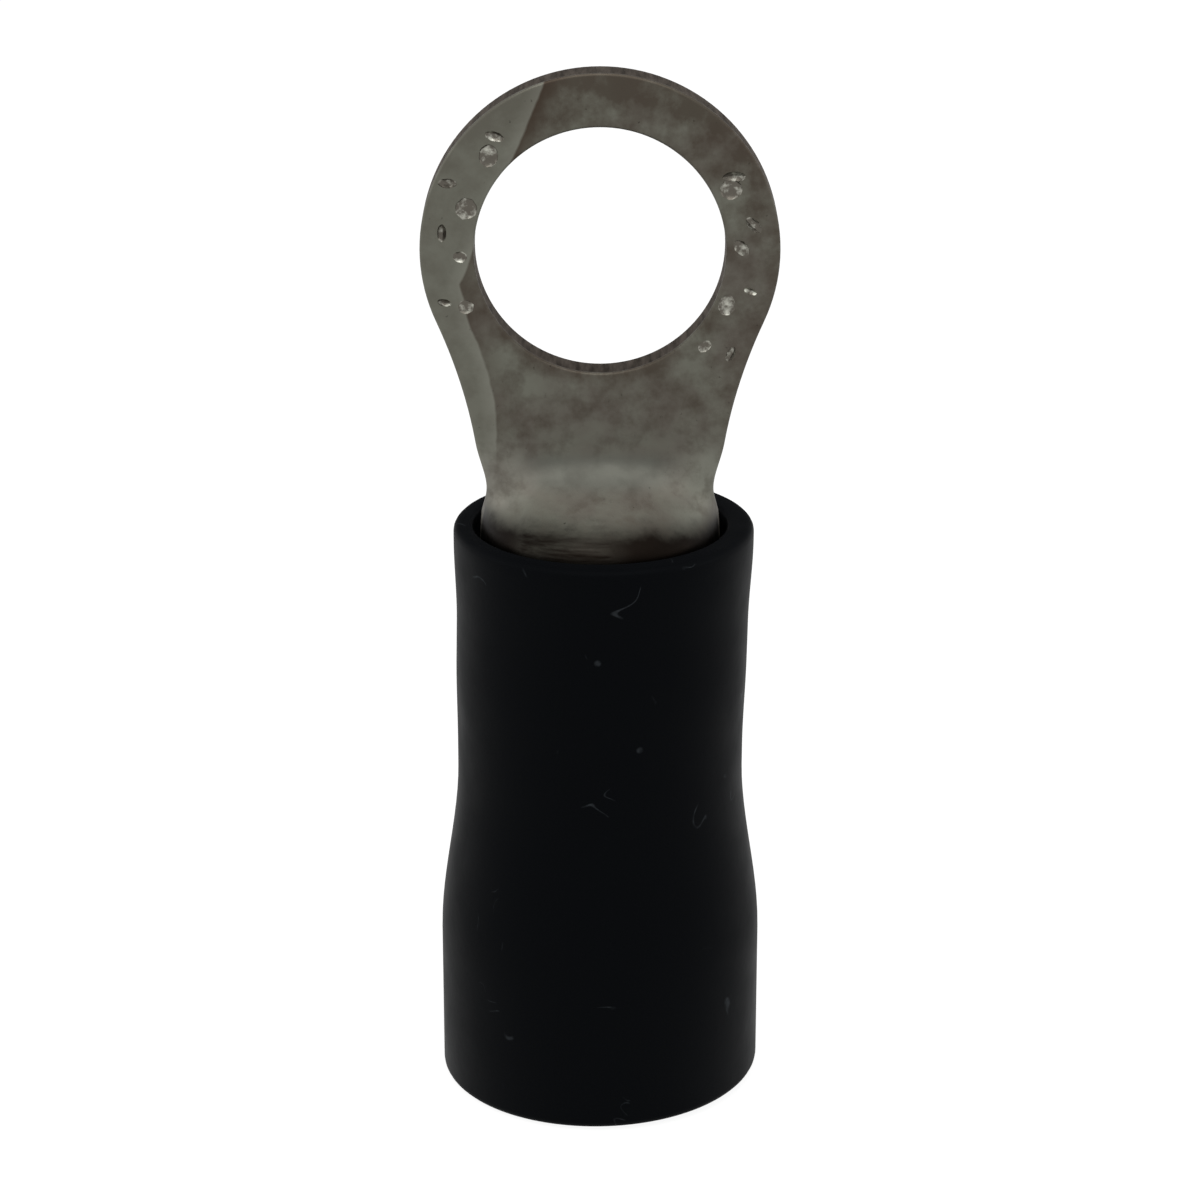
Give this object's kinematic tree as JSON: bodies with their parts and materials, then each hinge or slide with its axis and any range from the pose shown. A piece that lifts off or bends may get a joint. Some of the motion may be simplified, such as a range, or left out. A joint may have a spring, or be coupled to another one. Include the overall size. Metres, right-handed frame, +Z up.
{
  "type": "ring terminal",
  "caption": "Crimp ring terminal: a flat stamped ring on a tapering tongue that rolls into a wire barrel, inside a black insulating sleeve with a flared cable end.",
  "frame": {"origin": "centre of the sleeve's cable end, on the surface that the terminal stands on", "axes": "+Z up the barrel's axis to the ring, +Y along the stud hole, out of the ring's back; the tongue grows from the barrel's front, and the seam faces +Y"},
  "size_m": [0.0076, 0.0072, 0.0229],
  "materials": {
    "tinned_copper": "dull tin plate on copper sheet, tarnished grey-brown",
    "black_vinyl": "satin black PVC with fine scuffs"
  },
  "bodies": {
    "root": {"terminal": "tinned_copper", "insulating_sleeve": "black_vinyl"}
  },
  "joints": []
}
